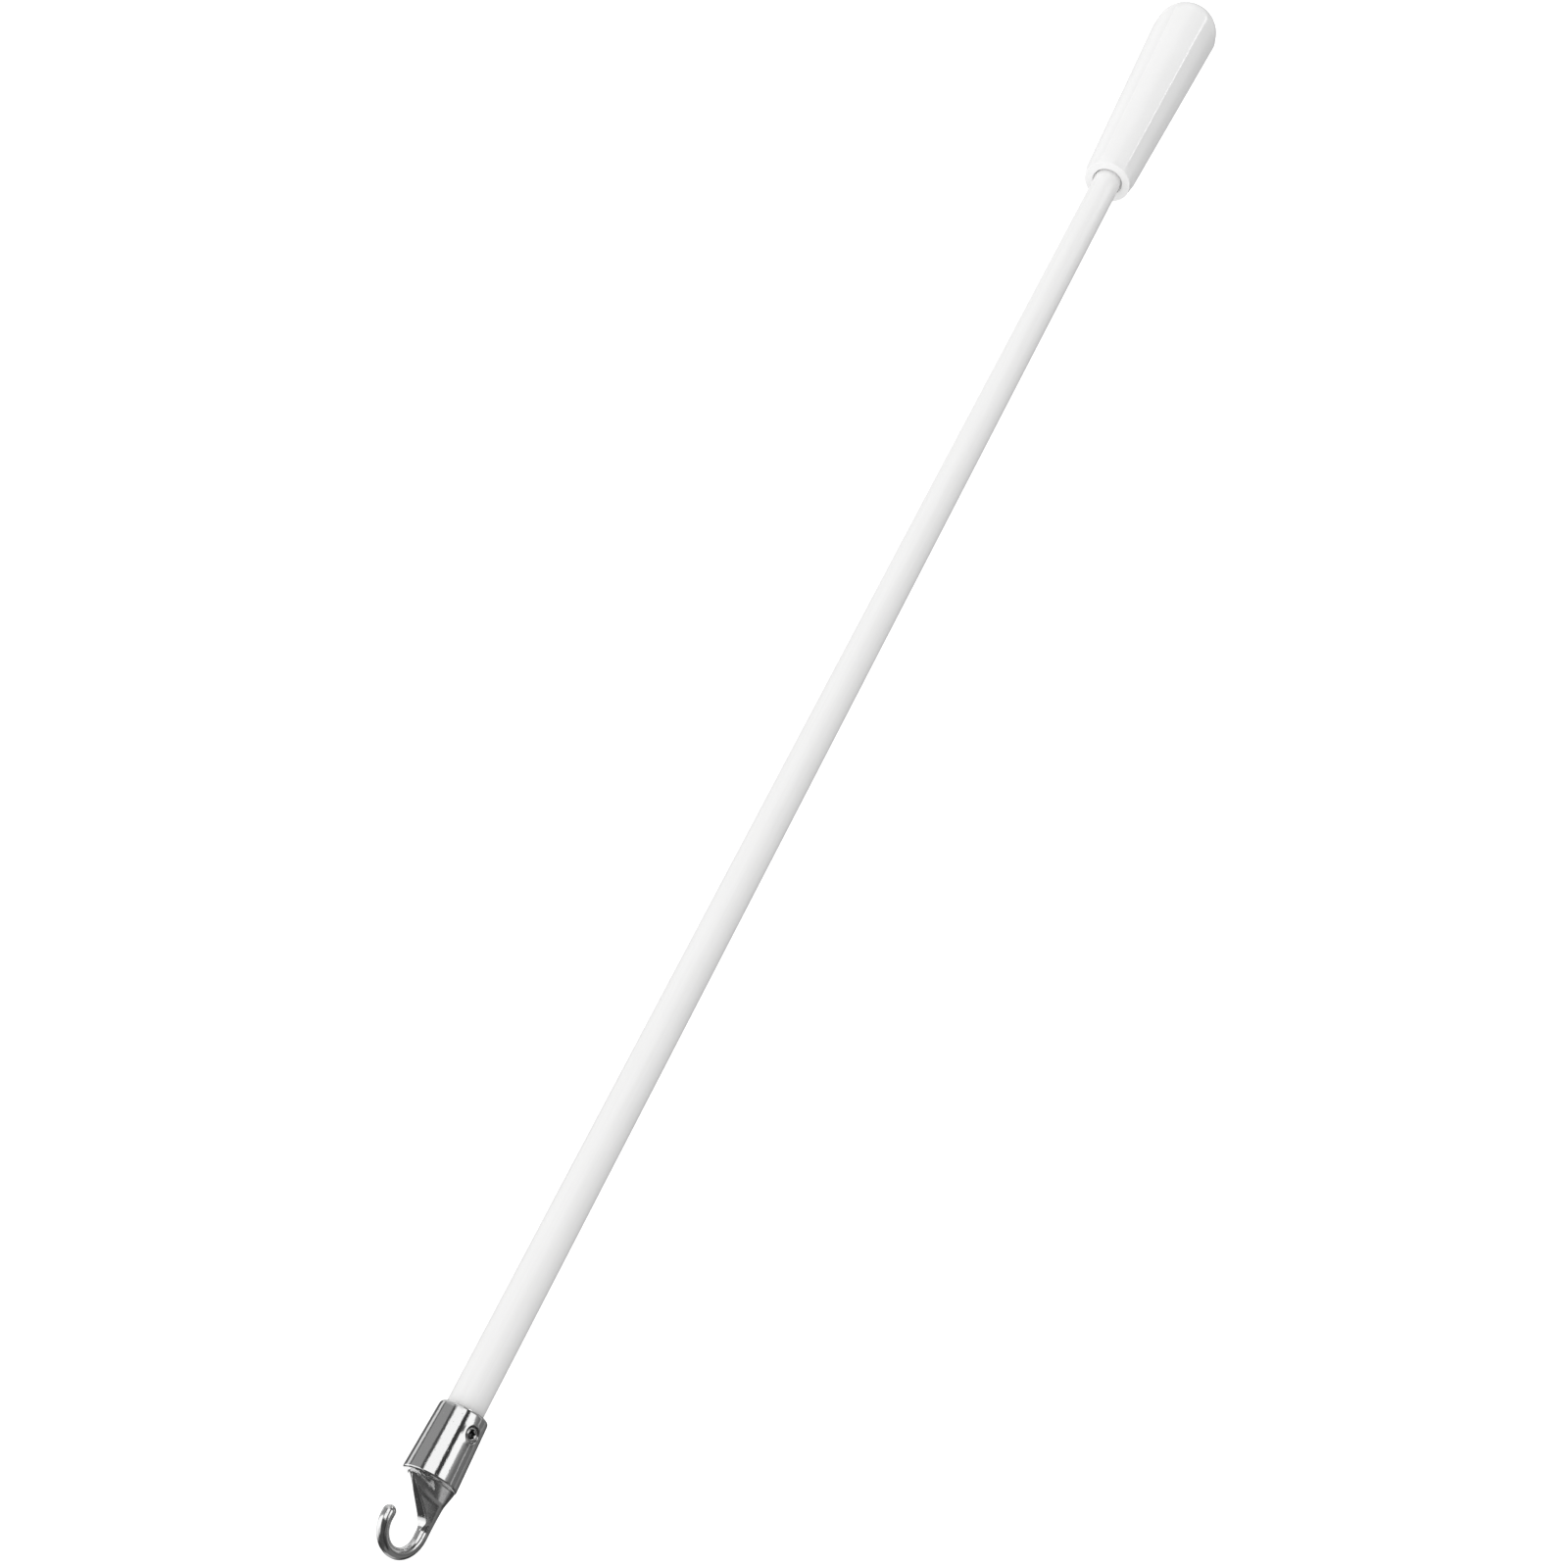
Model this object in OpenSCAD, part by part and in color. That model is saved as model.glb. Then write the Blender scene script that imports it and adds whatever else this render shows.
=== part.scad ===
// Curtain pull wand: a white rod with a faceted hand grip on its lower end and a
// die-cast hook ferrule, held by a set screw, on its upper end.
// The wand hangs along Z with the hook at the top. The origin is the centre of the
// hook's eye, and the eye lies in the XZ plane with its open side towards +X.

/* [Wand] */
// Length from the top of the hook to the end of the grip
overall_length = 612; // [450:5:920]
// Diameter of the rod
rod_d = 9.5; // [9.2:0.05:9.6]
// Chamfer on both ends of the rod
rod_chamfer = 0.4; // [0.2:0.1:0.8]

/* [Grip] */
// Length of the grip, dome included
grip_length = 101.2; // [85:0.1:120]
// Corner radius of the grip where its six facets begin
grip_top_r = 9.0; // [8.9:0.05:9.4]
// Corner radius of the grip where its dome begins
grip_end_r = 12.05; // [11.5:0.05:13]
// Radius of the round lip at the grip's mouth
lip_r = 8.25; // [8:0.05:8.5]
// Height of the plain collar between the lip and the facets
collar_h = 3.5; // [2.5:0.5:5]
// Radius of the flared mouth around the rod
mouth_r = 5.35; // [5.1:0.05:6.2]
// Depth of the flared mouth
mouth_depth = 1.5; // [1:0.5:14]
// Depth of the rod's hole, from the lip
rod_hole_depth = 85; // [60:1:85]
// Turn of the grip's first corner, seen along the wand
grip_turn = -12; // [-180:1:180]

/* [Ferrule] */
// Radius of the ferrule at its rim, where the rod enters
rim_r = 6.3; // [6.3:0.05:6.8]
// Radius of the ferrule at its base, beside the hook
base_r = 7.0; // [6.9:0.05:7.5]
// Length of the ferrule's socket body
ferrule_length = 17.1; // [15:0.1:20]
// Depth of the blind socket
socket_depth = 13.5; // [11:0.1:14]
// Distance that the set screw pushes the rod off centre
rod_shift = 0.35; // [0.2:0.05:0.5]

/* [Hook] */
// Diameter of the hook's wire
wire_d = 3.15; // [2.8:0.05:3.3]
// Radius of the eye, to the middle of the wire
eye_r = 5.9; // [5.6:0.05:6.1]
// Length of the hook's tip below the eye's widest line
tip_length = 2.25; // [2:0.05:3.5]
// Height of the shoulder, from the ferrule's base to the eye's widest line
shoulder_h = 11.65; // [11.2:0.05:13]
// Height of the tapering part of the shoulder
taper_h = 10.5; // [9.5:0.1:11]
// Height of the steep flare at the foot of the shoulder
flare_h = 3.8; // [3:0.1:4.5]
// Radius of the neck at the top of the flare
neck_r = 2.8; // [2.4:0.05:3.2]
// Width of the web's flat edge where it meets the shank
web_w = 3.6; // [3.2:0.1:4]
// Height where the web's edge meets the shank
web_h = 8.45; // [8:0.05:9]
// Distance from the eye's centre to the ferrule's axis, towards the shank
eye_shift = 0.3; // [0:0.05:0.5]

/* [Set screw] */
// Thread diameter of the set screw
screw_d = 4; // [3:1:4]
// Distance from the ferrule's rim to the screw's axis
screw_from_rim = 4.8; // [4:0.1:6]
// Turn of the screw's axis, seen along the wand
screw_turn = -90; // [-180:1:180]
// Width across the flats of the screw's socket
key_w = 2; // [1.5:0.5:2]

/* [Hidden] */

overlap = 1;
push_fit = 0.04;
thread_fit = 0.05;
tip_gap = 0.02;
end_gap = 0.3;
bond_fit = 0.03;

// Heights along the wand, from the hook down to the grip
base_z = -shoulder_h;
rim_z = base_z - ferrule_length;
socket_floor_z = rim_z + socket_depth;
screw_z = rim_z + screw_from_rim;
hook_top_z = eye_r + wire_d / 2;
grip_end_z = hook_top_z - overall_length;
mouth_z = grip_end_z + grip_length;
rod_top_z = socket_floor_z - end_gap;
rod_bottom_z = mouth_z - rod_hole_depth + end_gap;

// The rod's axis stands off the ferrule's axis, away from the set screw
ferrule_x = -eye_shift;
rod_x = ferrule_x - rod_shift * cos(screw_turn);
rod_y = -rod_shift * sin(screw_turn);
socket_r = rod_d / 2 + rod_shift + push_fit;

// ---- Rod ----------------------------------------------------------------------

module rod() {
    straight_h = rod_top_z - rod_bottom_z - 2 * rod_chamfer;
    chamfer_r = rod_d / 2 - rod_chamfer;
    color("white")
        translate([rod_x, rod_y, rod_bottom_z]) {
            cylinder(h = rod_chamfer, r1 = chamfer_r, r2 = rod_d / 2, $fn = 96);
            translate([0, 0, rod_chamfer])
                cylinder(h = straight_h, d = rod_d, $fn = 96);
            translate([0, 0, rod_chamfer + straight_h])
                cylinder(h = rod_chamfer, r1 = rod_d / 2, r2 = chamfer_r, $fn = 96);
        }
}

// ---- Grip ---------------------------------------------------------------------

sides = 6;
crown_ratio = 2;       // facet crown radius over the grip's corner radius
steps_per_facet = 8;
dome_sections = 9;
last_section = 0.3;    // the last section stays this share of a step short of the end
fade_h = 5;            // height over which the corners fade into the dome
plate_h = 0.01;
lip_round = 0.3;

// Radius of a crowned hexagon at an angle from the middle of one facet. round_share
// turns the hexagon into a circle as it goes from 0 to 1.
function facet_radius(corner_r, angle, round_share) =
    let (crown = crown_ratio * corner_r,
         half = asin(1 / (2 * crown_ratio)),
         centre = crown * cos(half) - corner_r * cos(180 / sides),
         flat_r = sqrt(crown ^ 2 - (centre * sin(angle)) ^ 2) - centre * cos(angle))
    flat_r * (1 - round_share) + corner_r * round_share;

function section_points(corner_r, round_share) = [
    for (side = [0 : sides - 1], step = [0 : steps_per_facet - 1])
        let (angle = 360 / sides * (step / steps_per_facet - 0.5),
             r = facet_radius(corner_r, angle, round_share),
             turn = 360 / sides * (side + 0.5) + angle)
        [r * cos(turn), r * sin(turn)]
];

// A thin slice of the grip, at a distance from its mouth
module slice(depth, corner_r, round_share) {
    translate([0, 0, depth])
        linear_extrude(height = plate_h)
            polygon(section_points(corner_r, round_share));
}

module grip_body() {
    dome_r = grip_end_r;
    dome_start = grip_length - dome_r;
    hull() {
        slice(0, lip_r - lip_round, 1);
        slice(lip_round, lip_r, 1);
        slice(collar_h, grip_top_r, 0);
        slice(dome_start, grip_end_r, 0);
        for (i = [1 : dome_sections]) {
            rise = dome_r * sin(90 * i / (dome_sections + last_section));
            slice(dome_start + rise, sqrt(dome_r ^ 2 - rise ^ 2), min(1, rise / fade_h));
        }
        translate([0, 0, grip_length - plate_h])
            cylinder(h = plate_h, r = plate_h, $fn = 16);
    }
}

module grip() {
    hole_r = rod_d / 2 + bond_fit;
    color("white")
        translate([rod_x, rod_y, mouth_z])
            mirror([0, 0, 1])
                difference() {
                    rotate([0, 0, grip_turn])
                        grip_body();
                    translate([0, 0, -overlap])
                        cylinder(h = rod_hole_depth + overlap, r = hole_r, $fn = 96);
                    translate([0, 0, -overlap])
                        cylinder(h = mouth_depth + overlap, r = mouth_r, $fn = 96);
                }
}

// ---- Hook ferrule -------------------------------------------------------------

rim_round = 0.8;
foot_inset = 0.1;      // step between the ferrule's base and the shoulder's foot
web_foot = 0.6;        // height where the web's edge leaves the flare
web_inset = 0.4;       // distance of that point inside the ferrule's base edge
web_min_w = 0.2;
slice_h = 0.05;
slice_heights = [0, web_foot, flare_h, web_h, taper_h];

// Tapered body with a rounded rim
module ferrule_body() {
    translate([0, 0, rim_z + rim_round])
        cylinder(h = ferrule_length - rim_round, r1 = rim_r, r2 = base_r, $fn = 96);
    translate([0, 0, rim_z + rim_round])
        rotate_extrude($fn = 96)
            translate([rim_r - rim_round, 0])
                circle(r = rim_round, $fn = 32);
    translate([0, 0, rim_z])
        cylinder(h = rim_round + overlap, r = rim_r - rim_round, $fn = 96);
}

// Radius of the shoulder's round part: a steep flare, then a slim neck up to the wire
function neck_radius(height) =
    let (foot_r = base_r - foot_inset,
         in_flare = height / flare_h,
         in_neck = (height - flare_h) / (taper_h - flare_h))
    height < flare_h ? foot_r + (neck_r - foot_r) * in_flare
                     : neck_r + (wire_d / 2 - neck_r) * in_neck;

// The shoulder's closed side runs from the ferrule's base edge to the back of the shank
function closed_side_x(height) =
    let (foot_x = ferrule_x - base_r + foot_inset / 2)
    foot_x + (-eye_r - wire_d / 2 - foot_x) * height / taper_h;

// The web's edge slopes from the ferrule's base to the inside of the shank
function web_share(height) = (height - web_foot) / (web_h - web_foot);

function web_edge_x(height) =
    let (foot_x = ferrule_x + base_r - web_inset)
    foot_x + (-eye_r + wire_d / 2 - foot_x) * web_share(height);

// Slice of the shoulder at a height above the ferrule's base: a round neck with a web
module shoulder_slice(height) {
    r = neck_radius(height);
    neck_x = closed_side_x(height) + r;
    z = base_z - slice_h + height;
    translate([neck_x, 0, z])
        cylinder(h = slice_h, r = r, $fn = 48);
    if (height >= web_foot && height <= web_h) {
        w = max(web_min_w, web_w * sqrt(web_share(height)));
        translate([neck_x, -w / 2, z])
            cube([web_edge_x(height) - neck_x, w, slice_h]);
    }
}

module shoulder() {
    for (i = [1 : len(slice_heights) - 1])
        hull() {
            shoulder_slice(slice_heights[i - 1]);
            shoulder_slice(slice_heights[i]);
        }
}

module hook_wire() {
    tip_straight = tip_length - wire_d / 2;
    rotate([90, 0, 0])
        rotate_extrude(angle = 180, $fn = 96)
            translate([eye_r, 0])
                circle(d = wire_d, $fn = 48);
    translate([-eye_r, 0, base_z / 2])
        cylinder(h = -base_z / 2, d = wire_d, $fn = 48);
    translate([eye_r, 0, -tip_straight])
        cylinder(h = tip_straight, d = wire_d, $fn = 48);
    translate([eye_r, 0, -tip_straight])
        sphere(d = wire_d, $fn = 48);
}

module hook_ferrule() {
    color("silver")
        difference() {
            union() {
                translate([ferrule_x, 0, 0])
                    ferrule_body();
                shoulder();
                hook_wire();
            }
            translate([ferrule_x, 0, rim_z - overlap])
                cylinder(h = socket_depth + overlap, r = socket_r, $fn = 96);
            translate([ferrule_x, 0, screw_z])
                rotate([0, 90, screw_turn])
                    cylinder(h = 2 * base_r, d = screw_d + 2 * thread_fit, $fn = 48);
        }
}

// ---- Set screw ----------------------------------------------------------------

screw_chamfer = 0.35;
key_depth = 1.2;

module set_screw() {
    inner = rod_d / 2 - rod_shift + tip_gap;
    outer = rim_r;
    straight_h = outer - inner - 2 * screw_chamfer;
    tip_r = screw_d / 2 - screw_chamfer;
    color("dimgray")
        translate([ferrule_x, 0, screw_z])
            rotate([0, 90, screw_turn])
                translate([0, 0, inner])
                    difference() {
                        union() {
                            cylinder(h = screw_chamfer, r1 = tip_r, r2 = screw_d / 2, $fn = 48);
                            translate([0, 0, screw_chamfer])
                                cylinder(h = straight_h, d = screw_d, $fn = 48);
                            translate([0, 0, screw_chamfer + straight_h])
                                cylinder(h = screw_chamfer, r1 = screw_d / 2, r2 = tip_r, $fn = 48);
                        }
                        translate([0, 0, outer - inner - key_depth])
                            cylinder(h = key_depth + overlap, d = key_w / cos(30), $fn = 6);
                    }
}

hook_ferrule();
rod();
grip();
set_screw();
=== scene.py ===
# Curtain pull wand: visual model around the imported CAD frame.
# The wand hangs along Z: hook ferrule at the top, hand grip at the bottom. Lengths are in metres.
import math

import bmesh
import bpy
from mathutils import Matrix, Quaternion, Vector, noise


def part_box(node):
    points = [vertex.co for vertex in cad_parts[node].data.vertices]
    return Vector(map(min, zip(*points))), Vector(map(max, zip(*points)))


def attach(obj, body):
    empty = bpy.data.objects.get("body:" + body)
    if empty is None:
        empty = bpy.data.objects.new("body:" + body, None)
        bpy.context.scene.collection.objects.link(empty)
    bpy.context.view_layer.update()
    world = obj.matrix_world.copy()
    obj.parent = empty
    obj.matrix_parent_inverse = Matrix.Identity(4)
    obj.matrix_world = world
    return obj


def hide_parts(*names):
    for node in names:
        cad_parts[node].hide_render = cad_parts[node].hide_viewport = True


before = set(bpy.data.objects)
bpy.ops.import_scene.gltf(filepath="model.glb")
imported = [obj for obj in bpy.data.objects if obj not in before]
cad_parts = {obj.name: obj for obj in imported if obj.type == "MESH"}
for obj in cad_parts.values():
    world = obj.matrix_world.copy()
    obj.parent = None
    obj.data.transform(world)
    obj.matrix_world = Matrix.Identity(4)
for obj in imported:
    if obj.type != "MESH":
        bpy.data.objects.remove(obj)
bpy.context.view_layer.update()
MM = 0.001
TAU = 2 * math.pi

# ---- Places read from the frame ------------------------------------------------

ROD_LOW, ROD_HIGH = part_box("rod")
GRIP_LOW, GRIP_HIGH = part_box("grip")
HOOK_LOW, HOOK_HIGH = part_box("hook_ferrule")
SCREW_LOW, SCREW_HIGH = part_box("set_screw")

ROD_AXIS = (ROD_LOW + ROD_HIGH) / 2
ROD_R = (ROD_HIGH.x - ROD_LOW.x) / 2
MOUTH_Z = GRIP_HIGH.z
GRIP_LENGTH = GRIP_HIGH.z - GRIP_LOW.z
FERRULE_X = ROD_AXIS.x
RIM_Z = HOOK_LOW.z
BASE_R = HOOK_HIGH.y
SCREW_Z = (SCREW_LOW.z + SCREW_HIGH.z) / 2
SCREW_R = (SCREW_HIGH.z - SCREW_LOW.z) / 2
EYE_OUTER_R = HOOK_HIGH.z

# ---- Driving dimensions of the visual model ------------------------------------

GRIP_SIDES = 6
GRIP_TURN = math.radians(-12)
GRIP_TOP_R = 9.0 * MM          # corner radius where the facets begin
GRIP_END_R = 12.05 * MM        # corner radius where the dome begins
GRIP_CROWN = 2.0               # facet crown radius over corner radius
GRIP_CORNER_FILLET = 0.7 * MM
LIP_R = 8.25 * MM
LIP_ROUND = 0.3 * MM
COLLAR_H = 3.5 * MM
CORNER_FADE_H = 5.0 * MM       # the corners fade out over this height of the dome
MOUTH_R = 5.35 * MM
MOUTH_DEPTH = 1.5 * MM
ROD_HOLE_DEPTH = 85.0 * MM
BOND_GAP = 0.03 * MM

FERRULE_LENGTH = 17.1 * MM
FERRULE_RIM_R = 6.3 * MM
RIM_ROUND = 0.8 * MM
BASE_ROUND = 0.55 * MM         # rounded edge of the base, and the narrow step above it
BASE_EDGE_H = 0.15 * MM
BASE_STEP = 0.38 * MM
STEP_RISE = 0.07 * MM
STEP_FILLET = 0.35 * MM        # height over which the step runs into the shoulder
SOCKET_R = ROD_R + 0.39 * MM
SOCKET_DEPTH = 13.5 * MM
HOLE_R = SCREW_R + 0.05 * MM
KEY_R = 1.0 * MM / math.cos(math.pi / 6)
HOLE_EDGE = 0.18 * MM
HOLE_LIP = 0.06 * MM           # metal raised round the hole by drilling, and how far it spreads
HOLE_LIP_W = 0.55 * MM

BASE_Z = RIM_Z + FERRULE_LENGTH
TAPER_H = 10.5 * MM
FLARE_H = 3.8 * MM             # the shoulder's round part: a steep flare, then a slim neck
FOOT_INSET = 0.1 * MM
NECK_R = 2.8 * MM
NECK_BLEND = 0.55 * MM
SIDE_DIP = 0.12 * MM           # how far the closed side dips in, half way up
WIRE_R = 1.575 * MM
CROWN_WIRE_R = 1.37 * MM
EYE_R = EYE_OUTER_R - WIRE_R
TIP_LENGTH = 2.25 * MM
WEB_FOOT = 0.6 * MM            # height where the web's edge leaves the flare
WEB_INSET = 0.4 * MM
WEB_H = 8.45 * MM              # height where the web's edge meets the shank
WEB_W = 3.6 * MM
WEB_MIN_W = 0.3 * MM
WEB_BLEND = 0.3 * MM           # how softly the edge leaves the flare, and joins the shank
WEB_TOP_BLEND = 1.8 * MM
NECK_EASE = 1.35               # how softly the neck's taper ends at the wire
WEB_EDGE = 0.2 * MM            # rounding of the web's corner on the screw hole's side
WEB_FAR_EDGE = 1.0 * MM        # rounding of the web's corner away from the screw hole
WEB_NEAR_ROUND = 0.8 * MM      # rounding of the other corner where the web joins the wire
ROUND_GROWTH = (3.5 * MM, 6 * MM)   # heights between which that rounding grows
ROUND_FADE_FROM = 6 * MM

HOOK_AROUND = 288
GRIP_FACET_STEPS = 12
GRIP_FILLET_STEPS = 6


# ---- Mesh helpers ---------------------------------------------------------------

def smooth_share(value):
    """0 to 1 with flat ends."""
    t = min(1.0, max(0.0, value))
    return t * t * (3 - 2 * t)


def soft_min(a, b, edge):
    """The smaller of a and b, blended over edge where they are close."""
    h = max(edge - abs(a - b), 0.0) / edge
    return min(a, b) - h * h * edge / 4


def circle_ring(centre, r, z, count):
    """Ring of points in the XY plane."""
    return [
        Vector((centre.x + r * math.cos(TAU * j / count), centre.y + r * math.sin(TAU * j / count), z))
        for j in range(count)
    ]


def arc_steps(start, end, steps):
    """Angles from start to end, both included."""
    return [start + (end - start) * i / steps for i in range(steps + 1)]


def ring_faces(bm, rings, skip=()):
    """Quads between neighbouring rings; skip holds (ring, column) pairs left open."""
    count = len(rings[0])
    for i in range(len(rings) - 1):
        for j in range(count):
            if (i, j) not in skip:
                k = (j + 1) % count
                bm.faces.new((rings[i][j], rings[i][k], rings[i + 1][k], rings[i + 1][j]))


def cap(bm, ring):
    """Closes a ring with triangles to its middle."""
    middle = bm.verts.new(sum((v.co for v in ring), Vector()) / len(ring))
    for j, vert in enumerate(ring):
        bm.faces.new((middle, vert, ring[(j + 1) % len(ring)]))


def finish_mesh(bm, name, material, body, cad_node):
    """Makes the closed mesh an object that stands for a CAD node and rides on its body."""
    bmesh.ops.recalc_face_normals(bm, faces=bm.faces)
    mesh = bpy.data.meshes.new(name)
    bm.to_mesh(mesh)
    bm.free()
    mesh.polygons.foreach_set("use_smooth", [True] * len(mesh.polygons))
    mesh.materials.append(material)
    piece = bpy.data.objects.new(name, mesh)
    bpy.context.scene.collection.objects.link(piece)
    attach(piece, body)
    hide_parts(cad_node)
    return piece


def tube(bm, rings):
    """Closed skin through a list of rings, capped at both ends."""
    made = [[bm.verts.new(point) for point in ring] for ring in rings]
    ring_faces(bm, made)
    cap(bm, made[0])
    cap(bm, made[-1])


# ---- Material helpers -----------------------------------------------------------

class Nodes:
    """Short calls for building one material's or the world's node tree."""

    def __init__(self, tree):
        self.tree = tree
        self.tree.nodes.clear()

    def add(self, kind, inputs=None, **settings):
        node = self.tree.nodes.new(kind)
        for key, value in settings.items():
            setattr(node, key, value)
        for key, value in (inputs or {}).items():
            self.put(node.inputs[key], value)
        return node

    def put(self, socket, value):
        if isinstance(value, bpy.types.NodeSocket):
            self.tree.links.new(value, socket)
        else:
            socket.default_value = value

    def math(self, operation, *values):
        node = self.add("ShaderNodeMath", operation=operation)
        for socket, value in zip(node.inputs, values):
            self.put(socket, value)
        return node.outputs[0]

    def span(self, value, low, high, to_low, to_high, smooth=False):
        node = self.add("ShaderNodeMapRange", interpolation_type="SMOOTHSTEP" if smooth else "LINEAR")
        for key, item in zip((0, 1, 2, 3, 4), (value, low, high, to_low, to_high)):
            self.put(node.inputs[key], item)
        return node.outputs[0]

    def noise(self, scale, stretch=(1, 1, 1), detail=3.0, rough=0.55):
        """Noise in the object's own coordinates; scale is in features per metre."""
        place = self.add("ShaderNodeTexCoord").outputs["Object"]
        size = tuple(scale * s for s in stretch)
        mapped = self.add("ShaderNodeMapping", {"Vector": place, "Scale": size})
        node = self.add("ShaderNodeTexNoise", {
            "Vector": mapped.outputs[0], "Scale": 1.0, "Detail": detail, "Roughness": rough})
        return node.outputs["Fac"]

    def mix(self, share, a, b):
        node = self.add("ShaderNodeMix", data_type="RGBA")
        self.put(node.inputs[0], share)
        self.put(node.inputs[6], a)
        self.put(node.inputs[7], b)
        return node.outputs[2]

    def bump(self, height, distance, strength=1.0, normal=None):
        inputs = {"Height": height, "Distance": distance, "Strength": strength}
        if normal is not None:
            inputs["Normal"] = normal
        return self.add("ShaderNodeBump", inputs).outputs[0]


def new_material(name):
    material = bpy.data.materials.new(name)
    material.use_nodes = True
    return material, Nodes(material.node_tree)


def grey(value, warm=0.0):
    return (value * (1 + warm), value, value * (1 - warm), 1.0)


def surface_output(nodes, inputs):
    shader = nodes.add("ShaderNodeBsdfPrincipled", inputs)
    nodes.add("ShaderNodeOutputMaterial", {"Surface": shader.outputs[0]})


# ---- Materials ------------------------------------------------------------------

def rod_material():
    """Satin white fibreglass with fine grain along the rod."""
    material, n = new_material("white_fibreglass")
    fibres = n.noise(9000, (1, 1, 0.012), detail=2.0)
    streaks = n.noise(1400, (1, 1, 0.02))
    handling = n.noise(90)
    colour = n.mix(n.span(streaks, 0.3, 0.7, 0, 1), grey(0.895, 0.004), grey(0.92, 0.002))
    rough = n.span(handling, 0.3, 0.7, 0.36, 0.46)
    normal = n.bump(fibres, 0.004 * MM, 0.5)
    normal = n.bump(streaks, 0.01 * MM, 0.5, normal)
    surface_output(n, {"Base Color": colour, "Roughness": rough, "Normal": normal,
                       "IOR": 1.5})
    return material


def grip_material():
    """Glossy moulded white plastic with a faint orange peel and a few dull scuffs."""
    material, n = new_material("white_moulded_plastic")
    peel = n.noise(1100)
    sink = n.noise(120, (1, 1, 0.4))
    scuffs = n.noise(420, (1, 1, 0.35), detail=6.0, rough=0.7)
    scuff_share = n.span(scuffs, 0.62, 0.75, 0, 1, smooth=True)
    colour = n.mix(n.span(sink, 0.3, 0.7, 0, 1), grey(0.925, 0.002), grey(0.95, 0.001))
    colour = n.mix(n.math("MULTIPLY", scuff_share, 0.25), colour, grey(0.86, 0.004))
    rough = n.math("ADD", n.span(peel, 0.3, 0.7, 0.16, 0.22), n.math("MULTIPLY", scuff_share, 0.06))
    normal = n.bump(peel, 0.01 * MM, 0.35)
    normal = n.bump(sink, 0.08 * MM, 0.5, normal)
    surface_output(n, {"Base Color": colour, "Roughness": rough, "Normal": normal,
                       "IOR": 1.49, "Coat Weight": 0.15, "Coat Roughness": 0.08})
    return material


def chrome_material():
    """Bright plating over a zinc casting: soft waves, fine grain and a few small pits."""
    material, n = new_material("plated_casting")
    waves = n.noise(900, detail=2.0)
    grain = n.noise(2600, detail=3.0, rough=0.6)
    pits = n.noise(2600, detail=0.0)
    pit_share = n.span(pits, 0.16, 0.22, 1, 0, smooth=True)
    haze = n.noise(260)
    colour = n.mix(n.math("MULTIPLY", pit_share, 0.5), grey(0.72, 0.0), grey(0.4, 0.01))
    place = n.add("ShaderNodeTexCoord").outputs["Object"]
    height = n.add("ShaderNodeSeparateXYZ", {"Vector": place}).outputs[2]
    above_base = n.span(height, BASE_Z + 0.5 * MM, BASE_Z + 1.5 * MM, 0, 1)
    below_wire = n.span(height, BASE_Z + WEB_H, BASE_Z + TAPER_H, 1, 0)
    facing = n.add("ShaderNodeNewGeometry").outputs["Normal"]
    sideways = n.math("ABSOLUTE", n.add("ShaderNodeSeparateXYZ", {"Vector": facing}).outputs[1])
    as_cast = n.math("MULTIPLY", above_base, below_wire)
    as_cast = n.math("MULTIPLY", as_cast, n.span(sideways, 0.4, 0.8, 0.15, 1))
    rough = n.math("ADD", n.span(haze, 0.3, 0.7, 0.06, 0.11), n.math("MULTIPLY", pit_share, 0.25))
    rough = n.math("ADD", rough, n.math("MULTIPLY", as_cast, n.span(grain, 0.35, 0.65, 0.08, 0.2)))
    normal = n.bump(waves, 0.012 * MM, 0.5)
    normal = n.bump(grain, 0.012 * MM, 0.8, normal)
    normal = n.bump(pit_share, 0.02 * MM, 0.3, normal)
    surface_output(n, {"Base Color": colour, "Metallic": 1.0, "Roughness": rough, "Normal": normal})
    return material


def screw_material():
    """Bright steel, turned and slightly oxidised, with painted shade darkening the inside of the hex
    socket.
    """
    material, n = new_material("screw_steel")
    turning = n.noise(4000, (1, 0.2, 1), detail=2.0)
    stain = n.noise(700)
    colour = n.mix(n.span(stain, 0.35, 0.7, 0, 1), grey(0.78, 0.0), grey(0.6, 0.01))
    place = n.add("ShaderNodeSeparateXYZ", {"Vector": n.add("ShaderNodeTexCoord").outputs["Object"]})
    across = n.math("SUBTRACT", place.outputs[0], FERRULE_X)
    up = n.math("SUBTRACT", place.outputs[2], SCREW_Z)
    square = n.math("MULTIPLY_ADD", across, across, n.math("MULTIPLY", up, up))
    from_axis = n.math("SQRT", square)
    # Painted shade: the hex socket's inside is painted near black, darker with depth into the socket,
    # in place of the shade that falls there.
    socket_shade_mask = n.span(from_axis, KEY_R, KEY_R + 0.12 * MM, 1, 0)
    socket_shade_depth = n.span(place.outputs[1], SCREW_LOW.y + 0.1 * MM, SCREW_LOW.y + 0.6 * MM, 0, 1)
    colour = n.mix(n.math("MULTIPLY", socket_shade_mask, socket_shade_depth), colour, grey(0.06, 0.002))
    rough = n.span(stain, 0.3, 0.7, 0.1, 0.2)
    normal = n.bump(turning, 0.004 * MM, 0.4)
    surface_output(n, {"Base Color": colour, "Metallic": 1.0, "Roughness": rough, "Normal": normal})
    return material


# ---- Rod ------------------------------------------------------------------------

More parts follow.
